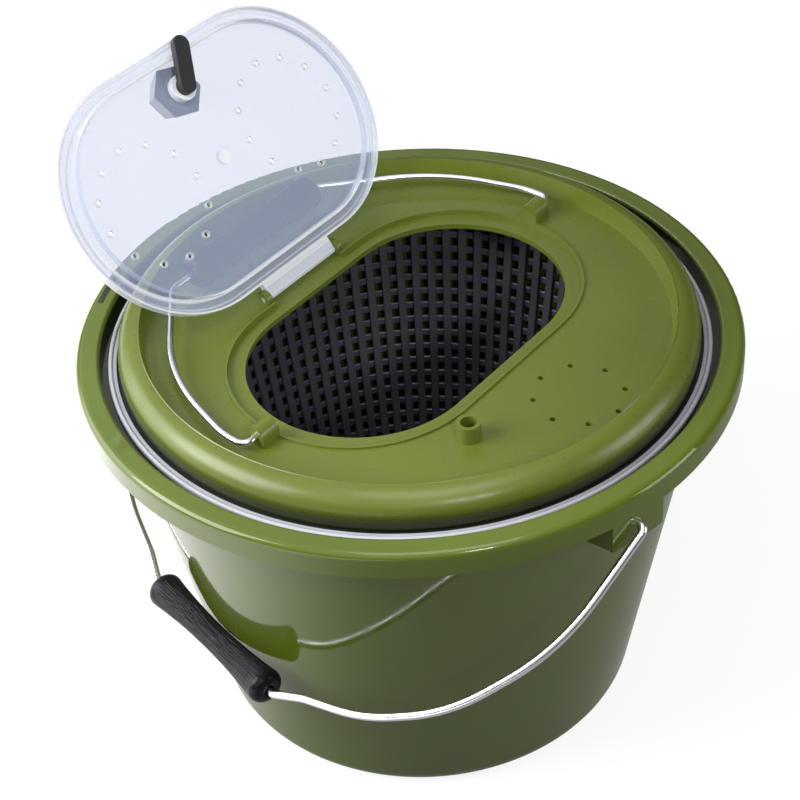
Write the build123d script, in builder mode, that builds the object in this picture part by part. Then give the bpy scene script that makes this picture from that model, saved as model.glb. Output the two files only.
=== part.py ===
from build123d import *
import math
import os

os.makedirs("parts", exist_ok=True)

# Aerated bait bucket: a tapered pail with a wire bail, a round lid that drops into the pail's mouth on a
# seal and carries a mesh basket, and an oval clear hatch that lifts on its own hinge over the basket.
# Millimetres, +Z up, origin at the centre of the pail's flat bottom. +X runs along the hatch's long axis,
# and the hatch's hinge is on the +Y side.

# ---- pail ----
height = 198.6            # floor to the top of the rim
wall_slope = 0.181        # radius gained per millimetre of height
wall = 2.4                # wall, rim and skirt
floor_thick = 2.6
corner_radius = 11.0      # outer corner between wall and floor
rim_radius = 152.5        # outside of the skirt
rim_width = 10.9          # flat top of the rim, from the skirt in to the mouth
neck_step = 4.355         # mouth in to the outside of the wall just under it
seat_depth = 6.6          # top of the rim down to the ledge the seal lies on
ledge_thick = 2.8
skirt_drop = 12.3         # top of the rim to the skirt's lower edge
shoulder_radius = 3.2     # outer top edge of the rim
mouth_round = 1.6         # inner top edge of the rim
rim_slot_azimuth = 112.4  # hanging slot in the rim
rim_slot_length = 26.0
rim_slot_width = 2.8
seam_gap = 0.02           # flat seams between the solids of one moulding
seam_play = 0.06          # round seams

# ---- bail ears ----
ear_azimuth = -103.6      # one ear; the other is opposite
ear_width = 29.0
ear_drop = 14.0           # how far the ear reaches below the skirt
ear_rib = 2.4
ear_foot_slope = 5.5      # how much lower the gussets meet the wall
pivot_drop = 17.6         # top of the rim down to the bail's pivot

# ---- bail ----
bail_wire = 4.0
bail_stand = 3.9          # middle of the wire's legs outside the skirt
bail_depth = 152.0        # pivot to the bottom of the bow
bail_jog = 8.3            # step out to the grip
bail_bend = 3.5
grip_length = 90.0
grip_end_radius = 8.6
grip_waist_radius = 6.2
grip_round = 4.5
grip_play = 0.3           # radial, round the wire
grip_gap = 0.3            # between the grip's waist and the wall it leans on
bore_play = 0.08          # radial, wire ends in their bores
head_radius = 3.3         # upset head inside the ear
head_thick = 1.6
head_gap = 0.4

# ---- lid ----
bead_gap = 8.85           # mouth in to the outside of the bead and of the skirt below it
bead_width = 10.65        # outside of the bead to its sharp inner edge
bead_lean = 2.25          # how much further in the bead's inner wall meets the deck
crest_height = 11.6       # crest above the rim
bead_wall = 2.3
deck_rise = 2.3           # top of the deck above the rim
deck_thick = 2.4
skirt_wall = 2.75
lid_skirt_depth = 11.4    # rim top down to the lower edge of the lid's skirt
air_hole_radius = 1.35
deck_ring_radius = 20.3
deck_ring_margin = 25.85  # middle of the ring to the foot of the bead
deck_ring_holes = 8
spigot_x, spigot_y = -50.0, -71.5
spigot_outer = 5.4
spigot_bore = 3.6
spigot_height = 8.4

# ---- seal ----
seal_gap = 3.5            # seal's edge to the mouth
seal_thick = 2.6
seal_groove = 1.25        # depth of the groove in the lid's skirt
fit_gap = 0.1             # seal and hoop round their seats

# ---- hatch opening in the deck ----
opening_margin = 33.85    # end of the opening to the foot of the bead
opening_half_width = 52.8
land_width = 5.9          # ledge round the opening that the hatch lies on
land_depth = 1.7
land_thick = 2.6
curb_width = 1.4
curb_height = 1.0

# ---- hatch ----
hatch_gap = 0.6           # hatch edge to the recess wall
hatch_plate = 1.8
hatch_edge_depth = 3.9    # plate top to the lower edge of its rim
hatch_edge_wall = 1.6
hatch_rest_gap = 0.3      # rim to ledge when shut
plug_gap = 0.6            # plug rib to the opening
plug_wall = 1.5
plug_drop = 2.2           # plug rib below the rim's edge
hatch_open = 130.0        # opening angle against the stop
vent_ring_inset = 39.0    # end of the opening to the middle of each ring
vent_ring_radius = 28.3
vent_ring_holes = 12
gate_radius = 3.2

# ---- hatch hinge ----
hinge_setback = 11.7      # edge of the opening to the hinge line
hinge_half = 23.4         # half the hinge plate's length
hinge_plate_thick = 3.0
knuckle_radius = 2.2
stub_radius = 1.5
stub_length = 2.6
ear_gap = 0.35
lug_thick = 3.2
lug_radius = 3.7

# ---- latch ----
latch_inset = 15.8        # spindle in from the opening's free edge
latch_turn = 29.0         # rest angle of the tongue from straight out
tongue_length = 23.8      # spindle to the tongue's tip
tongue_width = 8.8
tongue_thick = 3.0
tongue_gap = 0.4          # tongue under the ledge when shut
spindle_radius = 3.0
bush_radius = 6.5
bush_height = 4.0
knob_radius = 13.5
knob_top_radius = 10.0
knob_height = 11.5
knob_gap = 0.4

# ---- lid handle ----
handle_wire = 3.2
boss_margin = 19.35       # middle of each boss to the foot of the bead
boss_length = 10.5
boss_radius = 4.6
handle_margin = 7.35      # the wire's legs to the foot of the bead
handle_straight = 51.5    # half of the straight run through the grip
handle_bend = 4.5
grip_margin = 21.35       # the grip's axis to the foot of the bead, behind the hatch
lid_grip_length = 86.0
lid_grip_radius = 8.5
lid_grip_waist = 7.4
lid_grip_round = 3.5
lid_grip_play = 0.3
lid_grip_shift = 6.0      # where the grip lies along the wire
deck_gap = 0.3            # grip over the deck

# ---- basket ----
basket_flange_lap = 2.85  # flange under the deck, in from the foot of the bead
basket_flange_thick = 2.4
hoop_depth = 10.3         # flange top to the hoop's lower edge
hoop_wall = 2.8
basket_depth = 170.0      # flange top to the underside of the floor
basket_foot_gap = 3.5     # mesh at the foot, in from the pail's outer wall at the floor
mesh_layer = 1.4          # ribs inside, rings outside
hoop_lip = 0.4            # hoops thicker than the mesh, on each side
rib_count = 40
rib_share = 0.44          # part of the pitch that is rib
ring_count = 9
ring_height = 4.6
foot_hoop = 7.0
floor_bars = 9
floor_bar_width = 4.4
floor_layer = 1.5
snap_count = 4
snap_width = 14.0
snap_reach = 1.5
snap_height = 1.0

# ---- radii that follow from the rim, working inwards ----
mouth_radius = rim_radius - rim_width
bail_leg = rim_radius + bail_stand
bead_radius = mouth_radius - bead_gap
crest_radius = bead_radius - bead_width
deck_radius = crest_radius - bead_lean
skirt_inner = bead_radius - skirt_wall
seal_radius = mouth_radius - seal_gap
basket_flange_inner = deck_radius - basket_flange_lap
opening_half_length = deck_radius - opening_margin
vent_ring_x = opening_half_length - vent_ring_inset
boss_x = deck_radius - boss_margin
handle_span = deck_radius - handle_margin
handle_reach = deck_radius - grip_margin
deck_ring_y = deck_ring_margin - deck_radius
hinge_y = opening_half_width + hinge_setback
latch_reach = hinge_y + opening_half_width - latch_inset

# ---- levels and shapes that follow ----
ledge_z = height - seat_depth
neck_z = ledge_z - ledge_thick
base_radius = mouth_radius - neck_step - wall_slope * neck_z
basket_foot_radius = base_radius - basket_foot_gap
skirt_z = height - skirt_drop
pivot_z = height - pivot_drop
deck_z = height + deck_rise
deck_under_z = deck_z - deck_thick
crest_z = height + crest_height
seal_top_z = ledge_z + seal_thick
lid_skirt_z = height - lid_skirt_depth
land_z = deck_z - land_depth
land_under_z = land_z - land_thick
land_half_length = opening_half_length + land_width + 3.0
land_half_width = opening_half_width + land_width
hatch_top_z = land_z + hatch_rest_gap + hatch_edge_depth
hinge_z = hatch_top_z - hatch_plate / 2
boss_z = deck_z + boss_radius
knob_z = hatch_plate / 2 + knob_gap
basket_top_z = deck_under_z
basket_foot_z = basket_top_z - basket_depth
bead_round = bead_radius - crest_radius - 0.35
ear_half_angle = math.degrees(ear_width / 2 / rim_radius)
ear_foot = skirt_z - ear_drop
gusset_foot = ear_foot - ear_foot_slope
gusset_side = ear_width / 2 - ear_rib / 2


def wall_radius(z):
    return base_radius + wall_slope * z


def across(radius):
    # distance along a gusset's own plane at which it reaches this radius
    return math.sqrt(radius**2 - gusset_side**2)


def corner(x, z):
    # the corner of the profile being drawn that lies at radius x and height z
    return vertices().sort_by_distance((x, z, 0))[0]


# ================= pail =================
# One moulding, handed over as three solids: the wall, the rim with its ears, and the floor. Hair-thin
# seams part them, so that each has a plain outside for contact.
rim_seam = gusset_foot - 4.0
floor_seam = base_radius - corner_radius
with BuildPart() as pail:
    with BuildSketch(Plane.XZ):
        with BuildLine():
            Polyline(
                (0, 0),
                (base_radius, 0),
                (wall_radius(neck_z), neck_z),
                (mouth_radius + wall, neck_z),
                (mouth_radius + wall, height - wall),
                (rim_radius - wall, height - wall),
                (rim_radius - wall, ear_foot),
                (rim_radius, ear_foot),
                (rim_radius, height),
                (mouth_radius, height),
                (mouth_radius, ledge_z),
                (wall_radius(ledge_z) - wall, ledge_z),
                (wall_radius(floor_thick) - wall, floor_thick),
                (0, floor_thick),
                close=True,
            )
        make_face()

        fillet(corner(base_radius, 0), corner_radius)
        fillet(corner(wall_radius(floor_thick) - wall, floor_thick), corner_radius - wall)
        fillet(corner(rim_radius, height), shoulder_radius)
        fillet(corner(mouth_radius, height), mouth_round)
    revolve(axis=Axis.Z)

    # hanging slot through the rim, between the seat wall and the skirt
    slot_mid = (mouth_radius + rim_radius) / 2 + 0.6
    slot_half = math.degrees(rim_slot_length / 2 / slot_mid)
    with BuildSketch(Plane.XZ.rotated((0, 0, rim_slot_azimuth - slot_half))):
        with Locations((slot_mid, height - wall / 2)):
            Rectangle(rim_slot_width, wall * 3)
    revolve(axis=Axis.Z, revolution_arc=2 * slot_half, mode=Mode.SUBTRACT)

    # the skirt reaches down at the two ears and is cut back everywhere between them
    for turn in (ear_azimuth, ear_azimuth + 180):
        with BuildSketch(Plane.XZ.rotated((0, 0, turn + ear_half_angle))):
            with Locations((rim_radius - wall / 2, (ear_foot - 1 + skirt_z) / 2)):
                Rectangle(wall + 2, skirt_z - ear_foot + 1)
        revolve(axis=Axis.Z, revolution_arc=180 - 2 * ear_half_angle, mode=Mode.SUBTRACT)

    for turn in (ear_azimuth, ear_azimuth + 180):
        # a gusset on each side of the ear, from its face back to the wall
        for side in (-1, 1):
            with BuildSketch(Plane.XZ.rotated((0, 0, turn)).offset(side * gusset_side)):
                with BuildLine():
                    Polyline(
                        (across(wall_radius(neck_z) - wall / 2), neck_z + ledge_thick / 2),
                        (across(mouth_radius + wall / 2), neck_z + ledge_thick / 2),
                        (across(mouth_radius + wall / 2), height - wall / 2),
                        (across(rim_radius - wall / 2), height - wall / 2),
                        (across(rim_radius - wall / 2), ear_foot + 0.4),
                        (across(wall_radius(gusset_foot) - wall / 2), gusset_foot),
                        close=True,
                    )
                make_face()
            extrude(amount=ear_rib / 2, both=True)
        # pivot hole, drilled outwards through the face
        pivot_out = Plane(
            origin=(0, 0, pivot_z),
            x_dir=(0, 0, 1),
            z_dir=(math.cos(math.radians(turn)), math.sin(math.radians(turn)), 0),
        )
        with BuildSketch(pivot_out.offset(rim_radius - wall - 3)):
            Circle(bail_wire / 2 + bore_play)
        extrude(amount=wall + 6, mode=Mode.SUBTRACT)

with BuildPart() as bucket_rim:
    add(pail.part)
    split(bisect_by=Plane.XY.offset(rim_seam), keep=Keep.TOP)
bucket_rim.part.label = "bucket_rim"
export_step(bucket_rim.part, "parts/bucket_rim.step")

with BuildPart() as outer_bucket:
    add(pail.part)
    split(bisect_by=Plane.XY.offset(rim_seam - seam_gap), keep=Keep.BOTTOM)
    with BuildSketch():
        Circle(floor_seam + seam_play)
    extrude(amount=floor_thick, mode=Mode.SUBTRACT)
outer_bucket.part.label = "outer_bucket"
export_step(outer_bucket.part, "parts/outer_bucket.step")

with BuildPart() as bucket_floor:
    with BuildSketch():
        Circle(floor_seam)
    extrude(amount=floor_thick)
bucket_floor.part.label = "bucket_floor"
export_step(bucket_floor.part, "parts/bucket_floor.step")

# ================= bail =================
# The bail's own plane: x along the pivot axis towards the near ear, y away from the pivot towards the grip.
ear_dir = Vector(math.cos(math.radians(ear_azimuth)), math.sin(math.radians(ear_azimuth)), 0)
side_dir = Vector(ear_dir.Y, -ear_dir.X, 0)
taper = math.atan(wall_slope)
grip_depth = bail_depth + bail_jog
lean_reach = wall_radius(pivot_z) * math.cos(taper) + grip_waist_radius + grip_gap
hang = math.asin(lean_reach / grip_depth) - taper  # the grip's waist leans on the wall
down_dir = Vector(0, 0, -math.cos(hang)) + side_dir * math.sin(hang)
bail_plane = Plane(origin=(0, 0, pivot_z), x_dir=ear_dir, z_dir=ear_dir.cross(down_dir))
wire_end = rim_radius - wall - head_gap - head_thick / 2
jog_in = grip_length / 2 + 2.5
jog_out = jog_in + 15.5

# half of the bow from the leg to the step, as shares of the leg's distance and of the bow's depth
bow = [(1.0, 0.41), (0.831, 0.744), (0.613, 0.921)]
bow_radii = [108.0, 94.0, 98.0]
half_bail = [(wire_end, 0), (bail_leg, 0)]
half_bail += [(bail_leg * out, bail_depth * down) for out, down in bow]
half_bail += [(jog_out, bail_depth), (jog_in, grip_depth)]
bail_bends = [bail_bend, *bow_radii, 30.0, 5.0]

with BuildPart() as bail_rod:
    with BuildLine(bail_plane) as bail_path:
        FilletPolyline(
            half_bail + [(-out, down) for out, down in reversed(half_bail)],
            radius=bail_bends + bail_bends[::-1],
        )
    start_plane = Plane(
        origin=bail_plane.from_local_coords((wire_end, 0, 0)),
        z_dir=ear_dir,
    )
    with BuildSketch(start_plane):
        Circle(bail_wire / 2)
    sweep(path=bail_path.wires()[0])
    # upset heads that keep the ends inside the ears
    for way in (1, -1):
        head = Plane(origin=bail_plane.from_local_coords((way * wire_end, 0, 0)), z_dir=ear_dir)
        with BuildSketch(head):
            Circle(head_radius)
        extrude(amount=head_thick / 2, both=True)
bail_rod.part.label = "bail_wire"
export_step(bail_rod.part, "parts/bail_wire.step")


with BuildPart() as bail_grip:
    # a turned hourglass with rounded ends, bored for the wire; parted at its waist into two solids
    grip_plane = Plane(
        origin=bail_plane.from_local_coords((0, grip_depth, 0)), x_dir=ear_dir, z_dir=bail_plane.z_dir
    )
    half = grip_length / 2
    with BuildSketch(grip_plane):
        with BuildLine():
            ThreePointArc(
                (-half + grip_round, grip_end_radius),
                (0, grip_waist_radius),
                (half - grip_round, grip_end_radius),
            )
            RadiusArc(
                (half - grip_round, grip_end_radius), (half, grip_end_radius - grip_round), grip_round
            )
            Polyline(
                (half, grip_end_radius - grip_round),
                (half, bail_wire / 2 + grip_play),
                (-half, bail_wire / 2 + grip_play),
                (-half, grip_end_radius - grip_round),
            )
            RadiusArc(
                (-half, grip_end_radius - grip_round), (-half + grip_round, grip_end_radius), grip_round
            )
        make_face()
    revolve(axis=Axis(grip_plane.origin, ear_dir))
waist_plane = Plane(origin=grip_plane.origin, z_dir=ear_dir)
for half_name, shift, keep in (
    ("bail_grip_near", seam_gap / 2, Keep.TOP),
    ("bail_grip_far", -seam_gap / 2, Keep.BOTTOM),
):
    with BuildPart() as half_grip:
        add(bail_grip.part)
        split(bisect_by=waist_plane.offset(shift), keep=keep)
    half_grip.part.label = half_name
    export_step(half_grip.part, f"parts/{half_name}.step")

# ================= lid =================
with BuildPart() as lid:
    bead_mid_z = crest_z - 0.35 - bead_round
    bead_mid_r = bead_radius - bead_round
    skirt_round = skirt_inner - bead_mid_r
    lean = math.radians(45)
    groove_top = seal_top_z + 0.15
    groove_foot = ledge_z - 0.1
    with BuildSketch(Plane.XZ):
        with BuildLine():
            Polyline((0, deck_under_z), (0, deck_z), (deck_radius, deck_z), (crest_radius, crest_z))
            Line((crest_radius, crest_z), (bead_mid_r, bead_mid_z + bead_round))
            ThreePointArc(
                (bead_mid_r, bead_mid_z + bead_round),
                (bead_mid_r + bead_round * math.sin(lean), bead_mid_z + bead_round * math.cos(lean)),
                (bead_radius, bead_mid_z),
            )
            Polyline(
                (bead_radius, bead_mid_z),
                (bead_radius, groove_top),
                (bead_radius - seal_groove, groove_top),
                (bead_radius - seal_groove, groove_foot),
                (bead_radius, groove_foot),
                (bead_radius, lid_skirt_z + 1.2),
                (bead_radius - 1.0, lid_skirt_z),
                (skirt_inner, lid_skirt_z),
                (skirt_inner, bead_mid_z),
            )
            ThreePointArc(
                (skirt_inner, bead_mid_z),
                (bead_mid_r + skirt_round * math.sin(lean), bead_mid_z + skirt_round * math.cos(lean)),
                (bead_mid_r + 2.2, bead_mid_z + math.sqrt(skirt_round**2 - 2.2**2)),
            )
            Polyline(
                (bead_mid_r + 2.2, bead_mid_z + math.sqrt(skirt_round**2 - 2.2**2)),
                (deck_radius + bead_wall, deck_under_z),
                (0, deck_under_z),
            )
        make_face()
    revolve(axis=Axis.Z)

    # thicker land under the hatch opening, the recess for the hatch and the curb round it
    with BuildSketch(Plane.XY.offset(land_under_z)):
        SlotOverall(2 * land_half_length + 5, 2 * land_half_width + 5)
    extrude(amount=deck_under_z - land_under_z + 0.5)
    with BuildSketch(Plane.XY.offset(deck_z - 0.5)):
        SlotOverall(2 * (land_half_length + curb_width), 2 * (land_half_width + curb_width))
    extrude(amount=curb_height + 0.5)
    with BuildSketch(Plane.XY.offset(land_z)):
        SlotOverall(2 * land_half_length, 2 * land_half_width)
    extrude(amount=crest_z - land_z, mode=Mode.SUBTRACT)
    with BuildSketch(Plane.XY.offset(land_under_z)):
        SlotOverall(2 * opening_half_length, 2 * opening_half_width)
    extrude(amount=crest_z - land_under_z, mode=Mode.SUBTRACT)

    # pocket in the deck where the hinge plate turns
    pocket_back = hinge_y + knuckle_radius + 1.2
    with BuildSketch(Plane.XY.offset(land_z)):
        with Locations((0, (pocket_back + opening_half_width + 2) / 2)):
            Rectangle(2 * (hinge_half + ear_gap), pocket_back - opening_half_width - 2)
    extrude(amount=crest_z - land_z, mode=Mode.SUBTRACT)
    with BuildSketch(Plane.XY.offset(land_under_z)):
        with Locations((0, hinge_y - 1.5)):
            Rectangle(2 * hinge_half + 5, 2 * (pocket_back - hinge_y) + 5)
    extrude(amount=deck_under_z - land_under_z + 0.3)

    # hinge lugs beside the pocket
    for way in (-1, 1):
        lug_x = way * (hinge_half + ear_gap + lug_thick / 2)
        with BuildSketch(Plane.YZ.offset(lug_x)):
            with Locations((hinge_y, hinge_z)):
                Circle(lug_radius)
            with Locations((hinge_y, (hinge_z + deck_z - 0.6) / 2)):
                Rectangle(2 * lug_radius, hinge_z - deck_z + 0.6)
            with Locations((hinge_y, hinge_z)):
                Circle(stub_radius + bore_play, mode=Mode.SUBTRACT)
        extrude(amount=lug_thick / 2, both=True)

    # handle bosses, each a round barrel on a low saddle, bored from its outer end
    for way in (-1, 1):
        with BuildSketch(Plane.YZ.offset(way * boss_x)):
            with Locations((0, boss_z)):
                Circle(boss_radius)
            with Locations((0, (boss_z + deck_z - 0.5) / 2)):
                Rectangle(2 * boss_radius, boss_z - deck_z + 0.5)
        extrude(amount=boss_length / 2, both=True)
        with BuildSketch(Plane.YZ.offset(way * (boss_x + boss_length / 2 + 1))):
            with Locations((0, boss_z)):
                Circle(handle_wire / 2 + bore_play)
        extrude(amount=-way * (boss_length - 1.5), mode=Mode.SUBTRACT)

    # air-hose spigot
    with BuildSketch(Plane.XY.offset(deck_under_z)):
        with Locations((spigot_x, spigot_y)):
            Circle(spigot_outer)
    extrude(amount=deck_thick + spigot_height)
    with BuildSketch(Plane.XY.offset(deck_under_z)):
        with Locations((spigot_x, spigot_y)):
            Circle(spigot_bore)
    extrude(amount=deck_thick + spigot_height, mode=Mode.SUBTRACT)

    # ring of air holes in the deck
    with BuildSketch(Plane.XY.offset(deck_under_z)):
        with Locations((0, deck_ring_y)):
            with PolarLocations(deck_ring_radius, deck_ring_holes):
                Circle(air_hole_radius)
    extrude(amount=deck_thick, mode=Mode.SUBTRACT)

    # snaps under the basket's hoop
    hoop_foot_z = basket_top_z - hoop_depth
    snap_half = math.degrees(snap_width / 2 / skirt_inner)
    for index in range(snap_count):
        turn = 45 + 360 / snap_count * index - snap_half
        with BuildSketch(Plane.XZ.rotated((0, 0, turn))):
            with BuildLine():
                Polyline(
                    (skirt_inner + 0.5, hoop_foot_z),
                    (skirt_inner - snap_reach, hoop_foot_z),
                    (skirt_inner + 0.5, hoop_foot_z - snap_height),
                    close=True,
                )
            make_face()
        revolve(axis=Axis.Z, revolution_arc=2 * snap_half)

    # the flat of the deck behind the hinge, where the handle's grip lies, is a solid of its own
    deck_seam_y = hinge_y + lug_radius + 3.0
    deck_seam_radius = deck_radius - 0.6
    with BuildSketch(Plane.XY.offset(deck_under_z)):
        Circle(deck_seam_radius + seam_play)
        with Locations((0, deck_seam_y - seam_gap - deck_radius)):
            Rectangle(2 * deck_radius, 2 * deck_radius, mode=Mode.SUBTRACT)
    extrude(amount=deck_thick, mode=Mode.SUBTRACT)
lid.part.label = "lid"
export_step(lid.part, "parts/lid.step")

with BuildPart() as lid_deck_rear:
    with BuildSketch(Plane.XY.offset(deck_under_z)):
        Circle(deck_seam_radius)
        with Locations((0, deck_seam_y - deck_radius)):
            Rectangle(2 * deck_radius, 2 * deck_radius, mode=Mode.SUBTRACT)
    extrude(amount=deck_thick)
lid_deck_rear.part.label = "lid_deck_rear"
export_step(lid_deck_rear.part, "parts/lid_deck_rear.step")

# ================= seal =================
with BuildPart() as lid_seal:
    with BuildSketch(Plane.XZ):
        with BuildLine():
            seal_in = bead_radius - seal_groove + fit_gap
            Polyline(
                (seal_in, ledge_z),
                (seal_radius - 0.7, ledge_z),
                (seal_radius, ledge_z + 0.7),
                (seal_radius, seal_top_z - 0.7),
                (seal_radius - 0.7, seal_top_z),
                (seal_in, seal_top_z),
                close=True,
            )
        make_face()
    revolve(axis=Axis.Z)
lid_seal.part.label = "lid_seal"
export_step(lid_seal.part, "parts/lid_seal.step")

# ================= basket =================
hoop_radius = skirt_inner - fit_gap
mesh_top_z = hoop_foot_z + 0.0
mesh_foot_z = basket_foot_z + foot_hoop
mesh_top_r = hoop_radius - hoop_wall - 0.4
mesh_lean = (mesh_top_r - basket_foot_radius) / (mesh_top_z - basket_foot_z)


def mesh_radius(z):
    # middle surface of the mesh, between the ribs inside and the rings outside
    return basket_foot_radius + mesh_lean * (z - basket_foot_z)


# one upright rib, from the foot hoop to the top hoop
rib_width = 2 * math.pi * mesh_radius((mesh_top_z + mesh_foot_z) / 2) / rib_count * rib_share
with BuildPart() as rib:
    with BuildSketch(Plane.XZ):
        with BuildLine():
            Polyline(
                (mesh_radius(mesh_foot_z - 1) - mesh_layer, mesh_foot_z - 1),
                (mesh_radius(mesh_foot_z - 1), mesh_foot_z - 1),
                (mesh_radius(mesh_top_z + 1), mesh_top_z + 1),
                (mesh_radius(mesh_top_z + 1) - mesh_layer, mesh_top_z + 1),
                close=True,
            )
        make_face()
    extrude(amount=rib_width / 2, both=True)

# level rings behind the ribs, with a flat at each rib
rings = []
ring_pitch = (mesh_top_z - mesh_foot_z) / (ring_count + 1)
for index in range(ring_count):
    low = mesh_foot_z + ring_pitch * (index + 1) - ring_height / 2
    with BuildPart() as ring:
        for level in (low, low + ring_height):
            with BuildSketch(Plane.XY.offset(level)):
                RegularPolygon(mesh_radius(level) + mesh_layer, rib_count, major_radius=False)
                RegularPolygon(
                    mesh_radius(level), rib_count, major_radius=False, mode=Mode.SUBTRACT
                )
        loft(ruled=True)
    rings.append(ring)

with BuildPart() as basket_wall:
    # flange and hoop that sit under the deck, inside the lid's skirt
    with BuildSketch(Plane.XZ):
        with BuildLine():
            Polyline(
                (basket_flange_inner, basket_top_z),
                (deck_radius + bead_wall - 0.6, basket_top_z),
                (hoop_radius, basket_top_z),
                (hoop_radius, mesh_top_z),
                (mesh_radius(mesh_top_z) - mesh_layer - hoop_lip, mesh_top_z),
                (mesh_radius(mesh_top_z) - mesh_layer - hoop_lip, basket_top_z - basket_flange_thick),
                (basket_flange_inner, basket_top_z - basket_flange_thick),
                close=True,
            )
        make_face()
    revolve(axis=Axis.Z)
    # foot hoop round the floor
    with BuildSketch(Plane.XZ):
        with BuildLine():
            Polyline(
                (mesh_radius(mesh_foot_z) - mesh_layer - hoop_lip, mesh_foot_z),
                (mesh_radius(mesh_foot_z) + mesh_layer + hoop_lip, mesh_foot_z),
                (mesh_radius(basket_foot_z) + mesh_layer + hoop_lip, basket_foot_z),
                (mesh_radius(basket_foot_z) - mesh_layer - hoop_lip, basket_foot_z),
                close=True,
            )
        make_face()
    revolve(axis=Axis.Z)
    # upright ribs inside and level rings outside make the mesh
    with PolarLocations(0, rib_count, start_angle=180 / rib_count):
        add(rib.part)
    add([ring.part for ring in rings])
basket_wall.part.label = "basket_wall"
export_step(basket_wall.part, "parts/basket_wall.step")

with BuildPart() as basket_floor:
    floor_radius = mesh_radius(basket_foot_z) - mesh_layer - hoop_lip - 0.02
    with BuildSketch(Plane.XY.offset(basket_foot_z)):
        Circle(floor_radius)
        Circle(floor_radius - 5, mode=Mode.SUBTRACT)
    extrude(amount=2 * floor_layer)
    bar_pitch = 2 * (floor_radius - 5) / (floor_bars + 1)
    for index in range(floor_bars):
        place = (index - (floor_bars - 1) / 2) * bar_pitch
        reach = math.sqrt((floor_radius - 2.5) ** 2 - (abs(place) + floor_bar_width / 2) ** 2)
        with BuildSketch(Plane.XY.offset(basket_foot_z)):
            with Locations((place, 0)):
                Rectangle(floor_bar_width, 2 * reach)
        extrude(amount=floor_layer)
        with BuildSketch(Plane.XY.offset(basket_foot_z + floor_layer)):
            with Locations((0, place)):
                Rectangle(2 * reach, floor_bar_width)
        extrude(amount=floor_layer)
basket_floor.part.label = "basket_floor"
export_step(basket_floor.part, "parts/basket_floor.step")

# ================= lid handle =================
# Its plane holds the pivot line and the folded grip.
fold = math.atan2(deck_z + lid_grip_radius + deck_gap - boss_z, handle_reach)
handle_plane = Plane(
    origin=(0, 0, boss_z),
    x_dir=(1, 0, 0),
    z_dir=(0, -math.sin(fold), math.cos(fold)),
)
handle_end = boss_x - boss_length / 2 + 3.0
handle_bow = [(1.0, 0.126), (0.871, 0.58)]
half_handle = [(handle_end, 0), (handle_span, 0)]
half_handle += [(handle_span * out, handle_reach * back) for out, back in handle_bow]
half_handle += [(handle_straight, handle_reach)]
handle_bends = [handle_bend, 42.0, 100.0, 9.0]
with BuildPart() as lid_handle_wire:
    with BuildLine(handle_plane) as handle_path:
        FilletPolyline(
            half_handle + [(-out, back) for out, back in reversed(half_handle)],
            radius=handle_bends + handle_bends[::-1],
        )
    with BuildSketch(Plane(origin=handle_plane.from_local_coords((handle_end, 0, 0)), z_dir=(1, 0, 0))):
        Circle(handle_wire / 2)
    sweep(path=handle_path.wires()[0])
lid_handle_wire.part.label = "lid_handle_wire"
export_step(lid_handle_wire.part, "parts/lid_handle_wire.step")

with BuildPart() as lid_handle_grip:
    lid_grip_plane = Plane(
        origin=handle_plane.from_local_coords((lid_grip_shift, handle_reach, 0)),
        x_dir=(1, 0, 0),
        z_dir=handle_plane.z_dir,
    )
    half = lid_grip_length / 2
    with BuildSketch(lid_grip_plane):
        with BuildLine():
            ThreePointArc(
                (-half + lid_grip_round, lid_grip_radius),
                (0, lid_grip_waist),
                (half - lid_grip_round, lid_grip_radius),
            )
            RadiusArc(
                (half - lid_grip_round, lid_grip_radius),
                (half, lid_grip_radius - lid_grip_round),
                lid_grip_round,
            )
            Polyline(
                (half, lid_grip_radius - lid_grip_round),
                (half, handle_wire / 2 + lid_grip_play),
                (-half, handle_wire / 2 + lid_grip_play),
                (-half, lid_grip_radius - lid_grip_round),
            )
            RadiusArc(
                (-half, lid_grip_radius - lid_grip_round),
                (-half + lid_grip_round, lid_grip_radius),
                lid_grip_round,
            )
        make_face()
    revolve(axis=Axis(lid_grip_plane.origin, (1, 0, 0)))
lid_handle_grip.part.label = "lid_handle_grip"
export_step(lid_handle_grip.part, "parts/lid_handle_grip.step")

# ================= hatch =================
# Built in its own plane, whose x runs along the hinge line, y back over the hinge and z out of the top
# face, already turned open against the stop.
swing = math.radians(hatch_open)
hatch_plane = Plane(
    origin=(0, hinge_y, hinge_z), x_dir=(1, 0, 0), z_dir=(0, math.sin(swing), math.cos(swing))
)
hatch_half_length = land_half_length - hatch_gap
hatch_half_width = land_half_width - hatch_gap
plate_top = hatch_plate / 2
plate_under = -hatch_plate / 2
edge_foot = plate_top - hatch_edge_depth
plug_foot = edge_foot - plug_drop

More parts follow.
